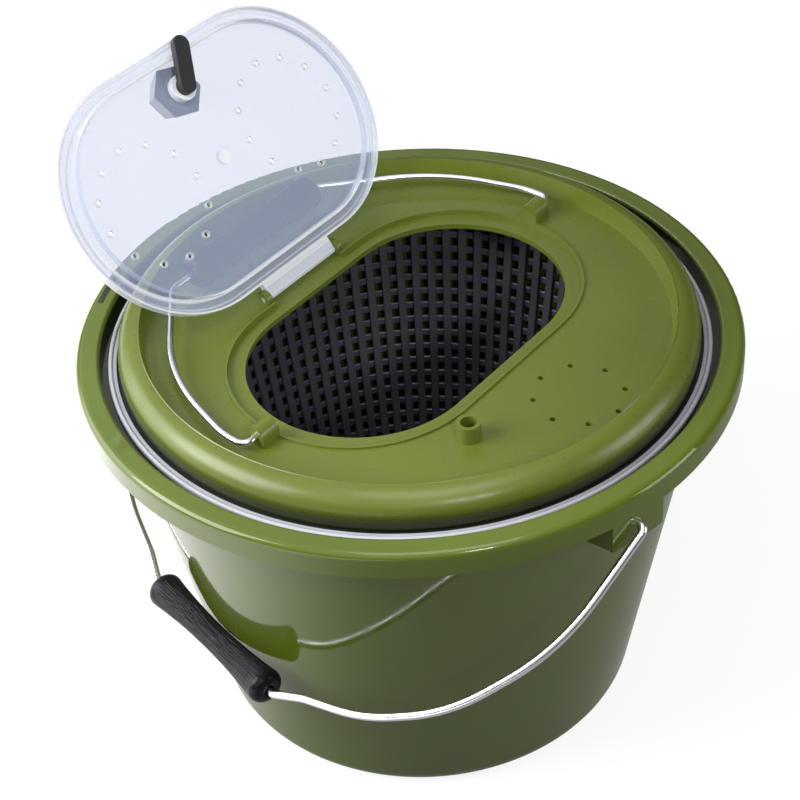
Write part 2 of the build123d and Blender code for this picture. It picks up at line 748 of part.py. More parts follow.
with BuildPart() as hatch_panel:
    with BuildSketch(hatch_plane.offset(plate_under)):
        with Locations((0, -hinge_y)):
            SlotOverall(2 * hatch_half_length, 2 * hatch_half_width)
    extrude(amount=hatch_plate)
    # rim
    with BuildSketch(hatch_plane.offset(edge_foot)):
        with Locations((0, -hinge_y)):
            SlotOverall(2 * hatch_half_length, 2 * hatch_half_width)
            SlotOverall(
                2 * (hatch_half_length - hatch_edge_wall),
                2 * (hatch_half_width - hatch_edge_wall),
                mode=Mode.SUBTRACT,
            )
    extrude(amount=hatch_edge_depth - hatch_plate + 0.2)
    # plug rib that drops inside the opening
    with BuildSketch(hatch_plane.offset(plug_foot)):
        with Locations((0, -hinge_y)):
            SlotOverall(2 * (opening_half_length - plug_gap), 2 * (opening_half_width - plug_gap))
            SlotOverall(
                2 * (opening_half_length - plug_gap - plug_wall),
                2 * (opening_half_width - plug_gap - plug_wall),
                mode=Mode.SUBTRACT,
            )
    extrude(amount=plate_under - plug_foot + 0.2)
    # hinge plate with its knuckle and two stub pins
    plate_reach = hinge_y - hatch_half_width + 1.0
    with BuildSketch(hatch_plane.offset(plate_top - hinge_plate_thick)):
        with Locations((0, -plate_reach / 2)):
            Rectangle(2 * hinge_half, plate_reach)
    extrude(amount=hinge_plate_thick)
    knuckle = Plane(origin=hatch_plane.origin, x_dir=hatch_plane.y_dir, z_dir=(1, 0, 0))
    with BuildSketch(knuckle):
        Circle(knuckle_radius)
    extrude(amount=hinge_half, both=True)
    with BuildSketch(knuckle):
        Circle(stub_radius)
    extrude(amount=hinge_half + ear_gap + stub_length, both=True)
    # two rings of air holes, the gate mark and the spindle hole
    with BuildSketch(hatch_plane.offset(plate_under - 0.5)):
        for way in (-1, 1):
            with Locations((way * vent_ring_x, -hinge_y)):
                with PolarLocations(vent_ring_radius, vent_ring_holes):
                    Circle(air_hole_radius)
        with Locations((0, -latch_reach)):
            Circle(bush_radius - 1.5)
    extrude(amount=hatch_plate + 1, mode=Mode.SUBTRACT)
    with BuildSketch(hatch_plane.offset(plate_top)):
        with Locations((0, -hinge_y)):
            Circle(gate_radius)
    extrude(amount=0.6, taper=30)
hatch_panel.part.label = "hatch_panel"
export_step(hatch_panel.part, "parts/hatch_panel.step")

# ================= latch =================
tongue_top = land_under_z - tongue_gap - hinge_z
with BuildPart() as latch_bush:
    # flanged bush in the hatch, its collar on the underside
    with BuildSketch(hatch_plane.offset(plate_under - bush_height)):
        with Locations((0, -latch_reach)):
            Circle(bush_radius)
    extrude(amount=bush_height)
    with BuildSketch(hatch_plane.offset(plate_under)):
        with Locations((0, -latch_reach)):
            Circle(bush_radius - 1.5 - fit_gap / 2)
    extrude(amount=hatch_plate)
    with BuildSketch(hatch_plane.offset(plate_under - bush_height)):
        with Locations((0, -latch_reach)):
            Circle(spindle_radius + bore_play)
    extrude(amount=bush_height + hatch_plate, mode=Mode.SUBTRACT)
latch_bush.part.label = "latch_bush"
export_step(latch_bush.part, "parts/latch_bush.step")

with BuildPart() as latch_tongue:
    # round-ended tongue with the spindle it turns on
    spindle = hatch_plane.from_local_coords((0, -latch_reach, 0))
    turn = math.radians(latch_turn)
    tongue_plane = Plane(
        origin=spindle,
        x_dir=hatch_plane.x_dir * math.sin(turn) - hatch_plane.y_dir * math.cos(turn),
        z_dir=hatch_plane.z_dir,
    )
    with BuildSketch(tongue_plane.offset(tongue_top - tongue_thick)):
        with Locations(((tongue_length - tongue_width / 2) / 2, 0)):
            SlotCenterToCenter(tongue_length - tongue_width / 2, tongue_width)
    extrude(amount=tongue_thick)
    chamfer(latch_tongue.edges().group_by(Axis(spindle, hatch_plane.z_dir))[0], 0.5)
    with BuildSketch(tongue_plane.offset(tongue_top - 0.2)):
        Circle(tongue_width / 2)
    extrude(amount=plate_under - bush_height - 0.2 - tongue_top + 0.2)
    with BuildSketch(tongue_plane.offset(tongue_top)):
        Circle(spindle_radius)
    extrude(amount=knob_z + 5 - tongue_top)
latch_tongue.part.label = "latch_tongue"
export_step(latch_tongue.part, "parts/latch_tongue.step")

with BuildPart() as latch_knob:
    # six-sided knob that narrows away from the hatch, pressed on the spindle
    with BuildSketch(tongue_plane.offset(knob_z)):
        RegularPolygon(knob_radius, 6, rotation=15)
    with BuildSketch(tongue_plane.offset(knob_z + knob_height)):
        RegularPolygon(knob_top_radius, 6, rotation=15)
    loft()
    chamfer(latch_knob.edges().group_by(Axis(spindle, hatch_plane.z_dir))[-1], 1.0)
    with BuildSketch(tongue_plane.offset(knob_z)):
        Circle(spindle_radius + 0.05)
    extrude(amount=5.1, mode=Mode.SUBTRACT)
latch_knob.part.label = "latch_knob"
export_step(latch_knob.part, "parts/latch_knob.step")
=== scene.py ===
import math

import bpy
import numpy as np
from mathutils import Matrix, Vector


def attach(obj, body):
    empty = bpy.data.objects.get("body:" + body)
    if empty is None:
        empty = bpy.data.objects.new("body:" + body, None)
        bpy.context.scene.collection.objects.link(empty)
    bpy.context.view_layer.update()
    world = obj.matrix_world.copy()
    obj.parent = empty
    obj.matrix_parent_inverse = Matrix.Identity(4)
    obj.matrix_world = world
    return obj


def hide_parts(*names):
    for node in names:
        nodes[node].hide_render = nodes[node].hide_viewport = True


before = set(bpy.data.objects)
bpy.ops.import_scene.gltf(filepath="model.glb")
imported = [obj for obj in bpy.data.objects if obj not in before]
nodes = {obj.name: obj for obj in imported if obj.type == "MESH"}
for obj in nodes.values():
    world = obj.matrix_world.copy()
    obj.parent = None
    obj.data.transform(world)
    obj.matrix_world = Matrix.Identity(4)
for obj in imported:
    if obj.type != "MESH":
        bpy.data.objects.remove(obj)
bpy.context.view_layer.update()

# ================= camera =================
# A longish lens from above and in front of the hose inlet, looking down into the open hatch.
eye = (-0.5600, -0.4686, 0.75136)
eye_right = (0.61422, -0.78741, -0.052119)
eye_up = (0.52439, 0.35791, 0.772599)
eye_back = (-0.58970, -0.50187, 0.632752)
camera = bpy.data.objects.new("camera", bpy.data.cameras.new("camera"))
bpy.context.scene.collection.objects.link(camera)
camera.data.sensor_width = 36.0
camera.data.lens = 90.0
camera.data.clip_start = 0.05
camera.matrix_world = Matrix([
    [eye_right[row], eye_up[row], eye_back[row], eye[row]] for row in range(3)
] + [[0, 0, 0, 1]])
bpy.context.scene.camera = camera
bpy.context.scene.view_settings.view_transform = "Standard"


# ================= studio =================
# The camera sees a white room and a pale floor that keeps the pail's shadow. What shines sees them darker
# low down and at the sides, with a bright window and a floor that brightens towards it. Three soft square
# lamps light the pail, and a spot lights the hatch.
class Shade:
    """One socket of a node tree. Arithmetic on it adds the Math nodes that work it out."""

    def __init__(self, tree, socket=None):
        self.tree, self.socket = tree, socket

    def node(self, kind, settings=None, values=None, out=0):
        """Adds one node: its settings first, then the values or links of its sockets."""
        made = self.tree.nodes.new("ShaderNode" + kind)
        for name, value in (settings or {}).items():
            setattr(made, name, value)
        for key, value in (values or {}).items():
            if isinstance(value, Shade):
                self.tree.links.new(value.socket, made.inputs[key])
            else:
                made.inputs[key].default_value = value
        return Shade(self.tree, made.outputs[out])

    def also(self, out):
        """Another output of the same node."""
        return Shade(self.tree, self.socket.node.outputs[out])

    def math(self, operation, *values):
        return self.node("Math", {"operation": operation}, dict(enumerate(values)))

    def __add__(self, other):
        return self.math("ADD", self, other)

    def __sub__(self, other):
        return self.math("SUBTRACT", self, other)

    def __rsub__(self, other):
        return self.math("SUBTRACT", other, self)

    def __mul__(self, other):
        return self.math("MULTIPLY", self, other)

    def __truediv__(self, other):
        return self.math("DIVIDE", self, other)

    def __pow__(self, other):
        return self.math("POWER", self, other)

    def __abs__(self):
        return self.math("ABSOLUTE", self)

    def least(self, other):
        return self.math("MINIMUM", self, other)

    def most(self, other):
        return self.math("MAXIMUM", self, other)

    def along(self, direction):
        """How far this point lies along a direction."""
        return self.node("VectorMath", {"operation": "DOT_PRODUCT"}, {0: self, 1: direction}, out="Value")

    def length(self):
        return self.node("VectorMath", {"operation": "LENGTH"}, {0: self}, out="Value")

    def off_axis(self):
        """How far this point is from the pail's axis."""
        return self.node("VectorMath", {"operation": "MULTIPLY"}, {0: self, 1: (1, 1, 0)}).length()

    def height(self):
        return self.node("SeparateXYZ", {}, {0: self}, out="Z")

    def ramp(self, low, high, to_low=0.0, to_high=1.0):
        """Runs smoothly from to_low to to_high while this goes from low to high."""
        return self.node("MapRange", {"interpolation_type": "SMOOTHSTEP"}, {
            "Value": self, "From Min": low, "From Max": high, "To Min": to_low, "To Max": to_high,
        })

    def mixed(self, one, two):
        """The colour that is one where this is 0 and two where it is 1."""
        values = {0: self, 6: one, 7: two}
        values = {k: (*v, 1) if isinstance(v, tuple) else v for k, v in values.items()}
        return self.node("Mix", {"data_type": "RGBA"}, values, out=2)

    def ends_in(self, kind):
        """Joins this shader to the output of its tree."""
        end = self.tree.nodes.new("ShaderNodeOutput" + kind)
        self.tree.links.new(self.socket, end.inputs["Surface"])


white = (1, 1, 1, 1)
lit_side, window_side, bright_floor_side = (-0.80, 0.52, 0.30), (-0.40, 0.87, 0.29), (-0.62, 0.79, 0.0)
window_strength, floor_strength, soft_fill = 4.2, 2.3, 0.14

room = bpy.data.worlds.new("white_room")
bpy.context.scene.world = room
room.use_nodes = True
room.node_tree.nodes.clear()
ray = Shade(room.node_tree).node("LightPath", out="Is Camera Ray")
seen = ray.most(ray.also("Is Transmission Ray"))
shone = ray.also("Is Glossy Ray")
facing = ray.node("TexCoord", out="Generated")
mirrored = facing.height().ramp(0.12, 0.62, 0.06, 1.0) * facing.along(lit_side).ramp(-0.40, 0.30, 0.18, 1.25)
mirrored = mirrored + facing.along(window_side).ramp(0.84, 0.97, 0.0, window_strength)
strength = seen + (1 - seen) * (shone * mirrored + (1 - shone) * soft_fill)
ray.node("Background", {}, {"Color": white, "Strength": strength}).ends_in("World")

floor_half, floor_drop, floor_grey = 3.0, 0.0004, 0.24
floor_mesh = bpy.data.meshes.new("floor")
floor_mesh.from_pydata(
    [(x * floor_half, y * floor_half, -floor_drop) for x, y in ((-1, -1), (1, -1), (1, 1), (-1, 1))],
    [], [(0, 1, 2, 3)],
)
floor = bpy.data.objects.new("floor", floor_mesh)
bpy.context.scene.collection.objects.link(floor)
paint = bpy.data.materials.new("floor_paint")
paint.use_nodes = True
paint.node_tree.nodes.clear()
ray = Shade(paint.node_tree).node("LightPath", out="Is Camera Ray")
seen = ray.most(ray.also("Is Transmission Ray"))
spot_on_floor = ray.node("TexCoord", out="Object")
lift = seen * spot_on_floor.length().ramp(0.3, 0.8, 0.88, 1.0)
towards_window = spot_on_floor.along(bright_floor_side)
lift = lift + ray.also("Is Glossy Ray") * towards_window.ramp(0.04, 0.32, 0.27, floor_strength)
matt = ray.node("BsdfDiffuse", {}, {"Color": (floor_grey, floor_grey, floor_grey, 1)})
bright = ray.node("Emission", {}, {"Color": white, "Strength": lift})
ray.node("AddShader", {}, {0: matt, 1: bright}).ends_in("Material")
floor_mesh.materials.append(paint)

pail_middle = 0.12


def lamp(name, azimuth, elevation, distance, width, power):
    """A square soft lamp at that bearing round the pail, in degrees, aimed at its middle."""
    a, e = math.radians(azimuth), math.radians(elevation)
    out = np.array([math.cos(e) * math.cos(a), math.cos(e) * math.sin(a), math.sin(e)])
    across = np.cross((0, 0, 1), out)
    across /= np.linalg.norm(across)
    stand = out * distance + (0, 0, pail_middle)
    rows = np.column_stack([across, np.cross(out, across), out, stand]).tolist()
    light = bpy.data.objects.new(name, bpy.data.lights.new(name, "AREA"))
    light.data.shape = "SQUARE"
    light.data.size = width
    light.data.energy = power
    light.matrix_world = Matrix([*rows, [0, 0, 0, 1]])
    bpy.context.scene.collection.objects.link(light)
    light.visible_camera = False


lamp("broad_lamp", 146, 36, 0.95, 0.6, 9.6)
lamp("top_lamp", 228, 72, 0.60, 0.30, 0.85)
lamp("far_lamp", 300, 16, 1.25, 0.6, 5.2)

hatch_lamp_place, hatch_middle = Vector((-0.52, -0.80, 0.85)), Vector((0, 0.09, 0.24))
hatch_lamp = bpy.data.objects.new("hatch_lamp", bpy.data.lights.new("hatch_lamp", "SPOT"))
hatch_lamp.data.energy = 16.0
hatch_lamp.data.spot_size = math.radians(24)
hatch_lamp.data.spot_blend = 1.0
hatch_lamp.data.shadow_soft_size = 0.08
hatch_lamp.location = hatch_lamp_place
hatch_lamp.rotation_euler = (hatch_middle - hatch_lamp_place).to_track_quat("-Z", "Y").to_euler()
bpy.context.scene.collection.objects.link(hatch_lamp)


# ================= finishes =================
# What the materials of all pieces share. Each finish is worked out from the place on its piece, in metres,
# with noise for its colour, its gloss and its relief.
def put_on(material, node_name):
    nodes[node_name].data.materials.clear()
    nodes[node_name].data.materials.append(material)


def new_finish(name, node_name=None, **fixed):
    """A material with what is the same all over set on its shader, and the place on the piece."""
    material = bpy.data.materials.new(name)
    material.use_nodes = True
    shader = material.node_tree.nodes["Principled BSDF"]
    for key, value in fixed.items():
        shader.inputs[key.replace("_", " ")].default_value = value
    if node_name:
        put_on(material, node_name)
    return material, Shade(material.node_tree).node("TexCoord", out="Object")


def feed(material, socket, value):
    shader = material.node_tree.nodes["Principled BSDF"]
    material.node_tree.links.new(value.socket, shader.inputs[socket])


def relief(height, depth):
    """A bump from a height between 0 and 1 that stands for that depth in metres."""
    return height.node("Bump", {}, {"Strength": 1.0, "Distance": depth, "Height": height}, out="Normal")


def grain(place, scale, detail=3.0, rough=0.5):
    """Noise between 0 and 1, with that many features to the metre."""
    return place.node("TexNoise", {}, {
        "Vector": place, "Scale": scale, "Detail": detail, "Roughness": rough,
    })


def toned(colour, share):
    return tuple(part * share for part in colour)


# ================= pail =================
# One polypropylene moulding, from a polished mould: smooth, glossy walls with the slight waviness that
# shrinkage leaves, and fine scuffs. Painted shade darkens its inside, and makes the foot of its ledge
# darkest.
# painted shade: the near-black colour painted in the ring, and the share of green that painted shade leaves
# on the inside
shade_colour, inside_shade_share = (0.006, 0.012, 0.002), 0.38
wall_slope, inside_shade_from, ring_shade_from = 0.181, (0.012, 0.0135), (0.186, 0.188)


def moulded(name, node_name, colour, gloss, waviness, tooth, shade_ring, shade_line):
    """Coloured plastic: gloss is its two roughness limits, waviness and tooth are heights in metres.
    The shade ring is painted shade: a ring's inner and outer radius, the heights where it starts and is
    full, and the share of colour left there. Within a cone that widens from the shade line's radius,
    painted shade darkens the inside."""
    material, place = new_finish(name, node_name, IOR=1.46)
    height, off_axis = place.height(), place.off_axis()
    # painted shade in the base colour: near black in a ring where shade falls between parts, and darker on
    # the inside
    inner, outer, unshaded_height, full_shade_height, kept = shade_ring
    in_ring = off_axis.ramp(inner, inner + 0.0006) * off_axis.ramp(outer, outer + 0.0004, 1.0, 0.0)
    ring_shade = in_ring * height.ramp(full_shade_height, unshaded_height, 1.0 - kept, 0.0) * height.ramp(*ring_shade_from)
    inside_shade = (off_axis - height * wall_slope).ramp(shade_line, shade_line + 0.0006, 1.0, 0.0)
    inside_shade = inside_shade * height.ramp(*inside_shade_from)
    cloud = grain(place, 9.0, 2.0).ramp(0.3, 0.7).mixed(toned(colour, 0.90), toned(colour, 1.08))
    wavy = grain(place, 14.0, 1.0) + grain(place, 1900.0, 2.0) * (tooth / waviness)
    feed(material, "Base Color", ring_shade.mixed(inside_shade.mixed(cloud, toned(colour, inside_shade_share)), shade_colour))
    feed(material, "Roughness", grain(place, 140.0, 6.0, 0.7).ramp(0.35, 0.75, *gloss))
    feed(material, "Normal", relief(wavy, waviness))
    return material


pail_green, pail_gloss = (0.122, 0.174, 0.0150), (0.05, 0.13)
# painted shade in the ledge's groove under the lid's seal, and on the pail's inside behind the basket
ledge_shade, pail_shade_line = (0.130, 0.1419, 0.1984, 0.1955, 0.06), 0.1012
pail_plastic = moulded("pail_plastic", "outer_bucket", pail_green, pail_gloss, 0.00012, 0.0000015,
                       ledge_shade, pail_shade_line)
put_on(pail_plastic, "bucket_rim")
put_on(pail_plastic, "bucket_floor")

# ================= bail and lid handle =================
# Bent from bright drawn steel wire; the drawing leaves fine lengthwise lines and a soft sheen.
wire_steel, along_wire, round_wire = (0.70, 0.71, 0.74, 1), 260, 1400


def drawn_wire(name, node_name, stretch):
    """Steel with fine lines along the axes of the lower stretch, which is in features to the metre."""
    material, place = new_finish(name, node_name, Base_Color=wire_steel, Metallic=1.0)
    lines = grain(place.node("Mapping", {}, {"Vector": place, "Scale": stretch}), 1.0, 3.0)
    feed(material, "Roughness", lines.ramp(0.3, 0.7, 0.14, 0.27))
    feed(material, "Normal", relief(lines, 0.000012))


drawn_wire("bail_steel", "bail_wire", (round_wire, along_wire, along_wire))
drawn_wire("handle_steel", "lid_handle_wire", (along_wire, round_wire, round_wire))


# ================= grips =================
# Black plastic, turned in form, with a wood-like grain moulded along them. Each turns on its wire. The
# functions that lay a mesh, for the grips and the later pieces, come first.
def mesh_of(name, body, grid, closed_along, sharp=35.0, layers=None):
    """Lays quads over a (pieces, along, around, 3) grid of points. Around always closes on itself; along
    closes if told to, and otherwise each piece gets a flat end at both ends. Layers are point values."""
    pieces, along, around = grid.shape[:3]
    index = np.arange(pieces * along * around).reshape(pieces, along, around)
    if closed_along:
        here, ahead = index, np.roll(index, -1, axis=1)
    else:
        here, ahead = index[:, :-1], index[:, 1:]
    quads = np.stack([here, ahead, np.roll(ahead, -1, 2), np.roll(here, -1, 2)], -1).reshape(-1, 4)
    points = grid.reshape(-1, 3)
    faces = [quads]
    if not closed_along:
        faces += [index[:, 0], index[:, -1, ::-1]]
    a, b, c, d = (points[quads[:, corner]] for corner in range(4))
    inside_out = np.einsum("ij,ij->i", a, np.cross(b, c) + np.cross(c, d)).sum() < 0
    faces = [part[:, ::-1] if inside_out else part for part in faces]
    mesh = bpy.data.meshes.new(name)
    mesh.from_pydata(points.tolist(), [], [face for part in faces for face in part.tolist()])
    mesh.shade_smooth()
    mesh.set_sharp_from_angle(angle=math.radians(sharp))
    for layer, values in (layers or {}).items():
        mesh.attributes.new(layer, "FLOAT", "POINT").data.foreach_set("value", values.ravel())
    made = bpy.data.objects.new(name, mesh)
    bpy.context.scene.collection.objects.link(made)
    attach(made, body)
    return made


def polar(angle, radius, z):
    return np.stack([np.cos(angle) * radius, np.sin(angle) * radius, z + 0 * angle], -1)


def turned(outline, steps=240):
    """A closed outline of radius and height, carried round the pail's axis."""
    angle = np.linspace(0, 2 * math.pi, steps, endpoint=False)
    return polar(angle[:, None], outline[None, :, 0], outline[None, :, 1])[None]


grain_waves, grain_total = ((31, 0.7), (47, 1.0), (64, 0.9), (79, 0.6)), 3.2
grain_depth, grain_fade, grain_turn, bore_edge = 0.00024, 0.006, 6.28, 0.0006


def turned_grip(name, body, centre, axis, length, end_radius, waist_radius, rounding, bore, seed):
    """A closed outline carried round the axis. Outside, the radius is the waist's plus a share of the
    square of the way to the end; a quarter circle rounds each end, and the wire's bore comes back. The
    grain takes from the radius a sum of cosines of the angle whose phases wander along the grip."""
    half, reach = length / 2, length / 2 - rounding
    s = np.linspace(-reach, reach, 150)
    turn = np.linspace(0, math.pi / 2, 9)[1:]
    end_s, end_r = reach + rounding * np.sin(turn), end_radius - rounding * (1 - np.cos(turn))
    along = np.concatenate([
        s, end_s, [half, half - bore_edge], [bore_edge - half, -half], -end_s[::-1],
    ])
    radius = np.concatenate([
        waist_radius + (end_radius - waist_radius) * (s / reach) ** 2, end_r,
        [bore + bore_edge, bore], [bore, bore + bore_edge], end_r[::-1],
    ])
    angle = np.linspace(0, 2 * math.pi, 400, endpoint=False)
    rng = np.random.default_rng(seed)
    groove = np.zeros((len(along), len(angle)))
    for waves, share in grain_waves:
        phase = rng.uniform(0, grain_turn, 4)
        wander = sum(
            1.5 / (turns + 1) * np.sin(along / length * grain_turn * (turns + 0.7) + phase[turns])
            for turns in range(4)
        )
        groove += share * np.cos(waves * angle[None, :] + 1.7 * wander[:, None] + phase[0])
    groove = np.clip(0.5 + groove / grain_total, 0, 1)
    towards_waist = np.clip((reach - np.abs(along)) / grain_fade + 0.2, 0, 1)
    outside = radius > bore + 0.001
    groove = groove * (towards_waist[:, None] * outside[:, None])
    side = np.cross(axis, (0, 0, 1))
    side /= np.linalg.norm(side)
    up = np.cross(side, axis)
    ring = np.cos(angle)[:, None] * side + np.sin(angle)[:, None] * up
    grid = (
        np.array(centre) + along[:, None, None] * np.array(axis)
        + (radius[:, None] - grain_depth * groove)[:, :, None] * ring[None]
    )
    return mesh_of(name, body, grid[None], True, 50.0, {"groove": groove})


black_grip, place = new_finish("black_grained_plastic", IOR=1.48, Specular_IOR_Level=0.16)
depth = place.node("Attribute", {"attribute_name": "groove"}, out="Fac")
speck = grain(place, 1500.0, 4.0, 0.6)
# darker in the grain's grooves and at fine specks
grooves_darker = (depth * 0.7 + speck * 0.3).mixed((0.012, 0.012, 0.018), (0.003, 0.003, 0.005))
feed(black_grip, "Base Color", grooves_darker)
feed(black_grip, "Roughness", (depth * 0.6 + speck * 0.4).ramp(0.2, 0.8, 0.22, 0.40))
feed(black_grip, "Normal", relief(speck, 0.00006))

for name, node_names, body, centre, axis, length, radii, rounding, bore, seed in (
    ("bail_grip_grained", ("bail_grip_near", "bail_grip_far"), "bail_grip", (-0.120497, 0.029151, 0.079379),
     (0.235142, 0.971961, 0.0), 0.090, (0.0086, 0.0062), 0.0045, 0.0023, 5),
    ("lid_grip_grained", ("lid_handle_grip",), "lid_grip", (0.006, 0.098411, 0.209696),
     (1.0, 0.0, 0.0), 0.086, (0.0085, 0.0074), 0.0035, 0.0019, 9),
):
    grip = turned_grip(name, body, centre, axis, length, *radii, rounding, bore, seed)
    grip.data.materials.append(black_grip)
    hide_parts(*node_names)

# ================= lid =================
# One moulding in the pail's green, a little greyer, with a fine satin tooth on top that spreads the light.
# Painted shade darkens its skirt below the bead, and there is no painted shade on its inside.
lid_green, lid_gloss = (0.130, 0.170, 0.0210), (0.27, 0.38)
# painted shade on the skirt below the bead; a shade line that no point reaches, so no painted shade inside
skirt_shade, never_shaded = (0.1285, 0.145, 0.2045, 0.1962, 0.12), -1.0
lid_plastic = moulded("lid_plastic", "lid", lid_green, lid_gloss, 0.00006, 0.0000045,
                      skirt_shade, never_shaded)
put_on(lid_plastic, "lid_deck_rear")

# ================= seal =================
# A ring of soft, milky rubber, stretched into the groove of the lid's skirt. A thin web, coloured near black
# as painted shade, fills the groove, a thicker band lies outside the skirt, and the band's edge rises in a
# rounded lip, coloured paler as a painted highlight.
seal_rubber, place = new_finish("seal_rubber", IOR=1.42)
off_axis = place.off_axis()
milky = grain(place, 60.0).ramp(0.3, 0.7).mixed((0.42, 0.44, 0.49), (0.50, 0.52, 0.57))
# painted highlight: the lip is paler; painted shade: the web is near black
lip_highlighted = off_axis.ramp(0.1362, 0.1368).mixed(milky, (0.64, 0.66, 0.71))
feed(seal_rubber, "Base Color", off_axis.ramp(0.1337, 0.1345).mixed((0.02, 0.022, 0.02), lip_highlighted))
feed(seal_rubber, "Roughness", grain(place, 400.0).ramp(0.3, 0.7, 0.30, 0.46))
feed(seal_rubber, "Normal", relief(grain(place, 900.0), 0.00003))

seal_in, seal_out, seal_foot, seal_top, lip_round = 0.13162, 0.1381, 0.192, 0.1946, 0.0011
web_top, band_top = seal_foot + 0.0009, seal_foot + 0.0019
seal_ring = mesh_of("seal_ring", "lid", turned(np.array([
    (seal_in, seal_foot + 0.0001), (seal_in + 0.0030, seal_foot + 0.0001), (seal_in + 0.0036, seal_foot),
    (seal_out - 0.0004, seal_foot), (seal_out, seal_foot + 0.0004),
    *[(seal_out - lip_round + lip_round * math.cos(a), seal_top - lip_round + lip_round * math.sin(a))
      for a in np.linspace(0, math.pi, 9)],
    (seal_out - 0.0024, band_top), (seal_in + 0.0026, band_top),
    (seal_in + 0.0020, web_top), (seal_in, web_top),
])), True, 40.0)
seal_ring.data.materials.append(seal_rubber)
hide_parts("lid_seal")

# ================= basket =================
# A dark, satin moulding. Flat uprights stand inside, and level rings pass behind them; a hoop with a
# flange snaps into the lid's skirt, and a plain hoop holds the grid of the floor.
foot_z, mesh_foot, mesh_top, basket_top = 0.0285, 0.0355, 0.1882, 0.1985
foot_radius, mesh_slope = 0.0995, 0.17032
uprights, upright_width, upright_depth, overlap = 92, 0.0040, 0.0022, 0.0001
rings, ring_width, ring_depth = 18, 0.0037, 0.0014
flange_inner, flange_thick, hoop_outer, lip = 0.1170, 0.0024, 0.1299, 0.0004


def mesh_line(z):
    """Radius of the mesh's middle surface: it grows evenly with height above the foot."""
    return foot_radius + mesh_slope * (z - foot_z)


def bars(path, across, out, width, low, high, edge):
    """A rectangle with its corners cut, width wide and from low to high along out, carried on a path."""
    half = width / 2
    section = np.array([
        (-half, low + edge), (-half + edge, low), (half - edge, low), (half, low + edge),
        (half, high - edge), (half - edge, high), (-half + edge, high), (-half, high - edge),
    ])
    return (
        path[:, :, None] + across[:, :, None] * section[:, 0, None] + out[:, :, None] * section[:, 1, None]
    )


def steady(direction, path):
    """One direction for every point of a path."""
    return np.zeros(path.shape) + direction


def eased(outline, cut):
    """Each corner of a closed outline gives way to two points, that far along its two sides."""
    before, after = np.roll(outline, 1, 0) - outline, np.roll(outline, -1, 0) - outline
    before *= cut / np.linalg.norm(before, axis=1)[:, None]
    after *= cut / np.linalg.norm(after, axis=1)[:, None]
    return np.stack([outline + before, outline + after], 1).reshape(-1, 2)


angle = np.repeat((np.arange(uprights) + 0.5)[:, None] * 2 * math.pi / uprights, 2, axis=1)
z = np.array([[mesh_foot - 0.001, mesh_top + 0.001]]) + 0 * angle
upright_bars = bars(
    polar(angle, mesh_line(z), z), polar(angle + math.pi / 2, 1.0, 0), polar(angle, 1.0, 0),
    upright_width, -upright_depth, overlap, 0.00035,
)
angle = np.linspace(0, 2 * math.pi, 2 * uprights, endpoint=False)[None] + np.zeros((rings, 1))
pitch = (mesh_top - mesh_foot) / (rings + 1)
z = (mesh_foot + pitch * (np.arange(rings) + 1))[:, None] + 0 * angle
ring_path = polar(angle, mesh_line(z), z)
ring_bars = bars(
    ring_path, steady((0, 0, 1), ring_path), polar(angle, 1.0, 0), ring_width, 0.0, ring_depth, 0.0003,
)

inner_top = mesh_line(mesh_top) - ring_depth - lip
top_hoop = turned(eased(np.array([
    (flange_inner, basket_top), (hoop_outer, basket_top), (hoop_outer, mesh_top), (inner_top, mesh_top),
    (inner_top, basket_top - flange_thick), (flange_inner, basket_top - flange_thick),
]), 0.0004))
foot_hoop = turned(eased(np.array([
    (mesh_line(mesh_foot) - ring_depth - lip, mesh_foot),
    (mesh_line(mesh_foot) + ring_depth + lip, mesh_foot),
    (mesh_line(foot_z) + ring_depth + lip, foot_z),
    (mesh_line(foot_z) - ring_depth - lip, foot_z),
]), 0.0005))

basket_plastic, place = new_finish("basket_plastic", IOR=1.5)
cloud = grain(place, 30.0, 3.0)
greys = cloud.ramp(0.3, 0.7).mixed((0.086, 0.094, 0.108), (0.110, 0.120, 0.136))
feed(basket_plastic, "Base Color", greys)
feed(basket_plastic, "Roughness", cloud.ramp(0.3, 0.7, 0.26, 0.42))
feed(basket_plastic, "Normal", relief(grain(place, 1300.0, 3.0), 0.00003))
for name, grid, closed in (
    ("basket_uprights", upright_bars, False), ("basket_rings", ring_bars, True),
    ("basket_top_hoop", top_hoop, True), ("basket_foot_hoop", foot_hoop, True),
):
    piece = mesh_of(name, "lid", grid, closed, 25.0)
    piece.data.materials.append(basket_plastic)
    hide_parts("basket_wall")

# the floor's two crossing layers of bars, inside a flat rim
floor_bars, floor_pitch, floor_bar_width, floor_top_z = 25, 0.00735, 0.0034, 0.003
floor_radius, floor_rim_width = mesh_line(foot_z) - ring_depth - lip - 0.00002, 0.005
place_across = (np.arange(floor_bars) - floor_bars // 2) * floor_pitch
reach = np.sqrt(
    (floor_radius - floor_rim_width / 2) ** 2 - (abs(place_across) + floor_bar_width / 2) ** 2
)
ends = np.array([-1.0, 1.0])
along_y = np.stack([
    np.repeat(place_across[:, None], 2, 1), reach[:, None] * ends, np.full((floor_bars, 2), foot_z),
], -1)
along_x = along_y[:, :, [1, 0, 2]]
to_x, to_y, to_z = (steady(direction, along_y) for direction in ((1, 0, 0), (0, 1, 0), (0, 0, 1)))
floor_rim = turned(eased(np.array([
    (floor_radius - floor_rim_width, foot_z), (floor_radius, foot_z),
    (floor_radius, foot_z + floor_top_z), (floor_radius - floor_rim_width, foot_z + floor_top_z),
]), 0.0003))
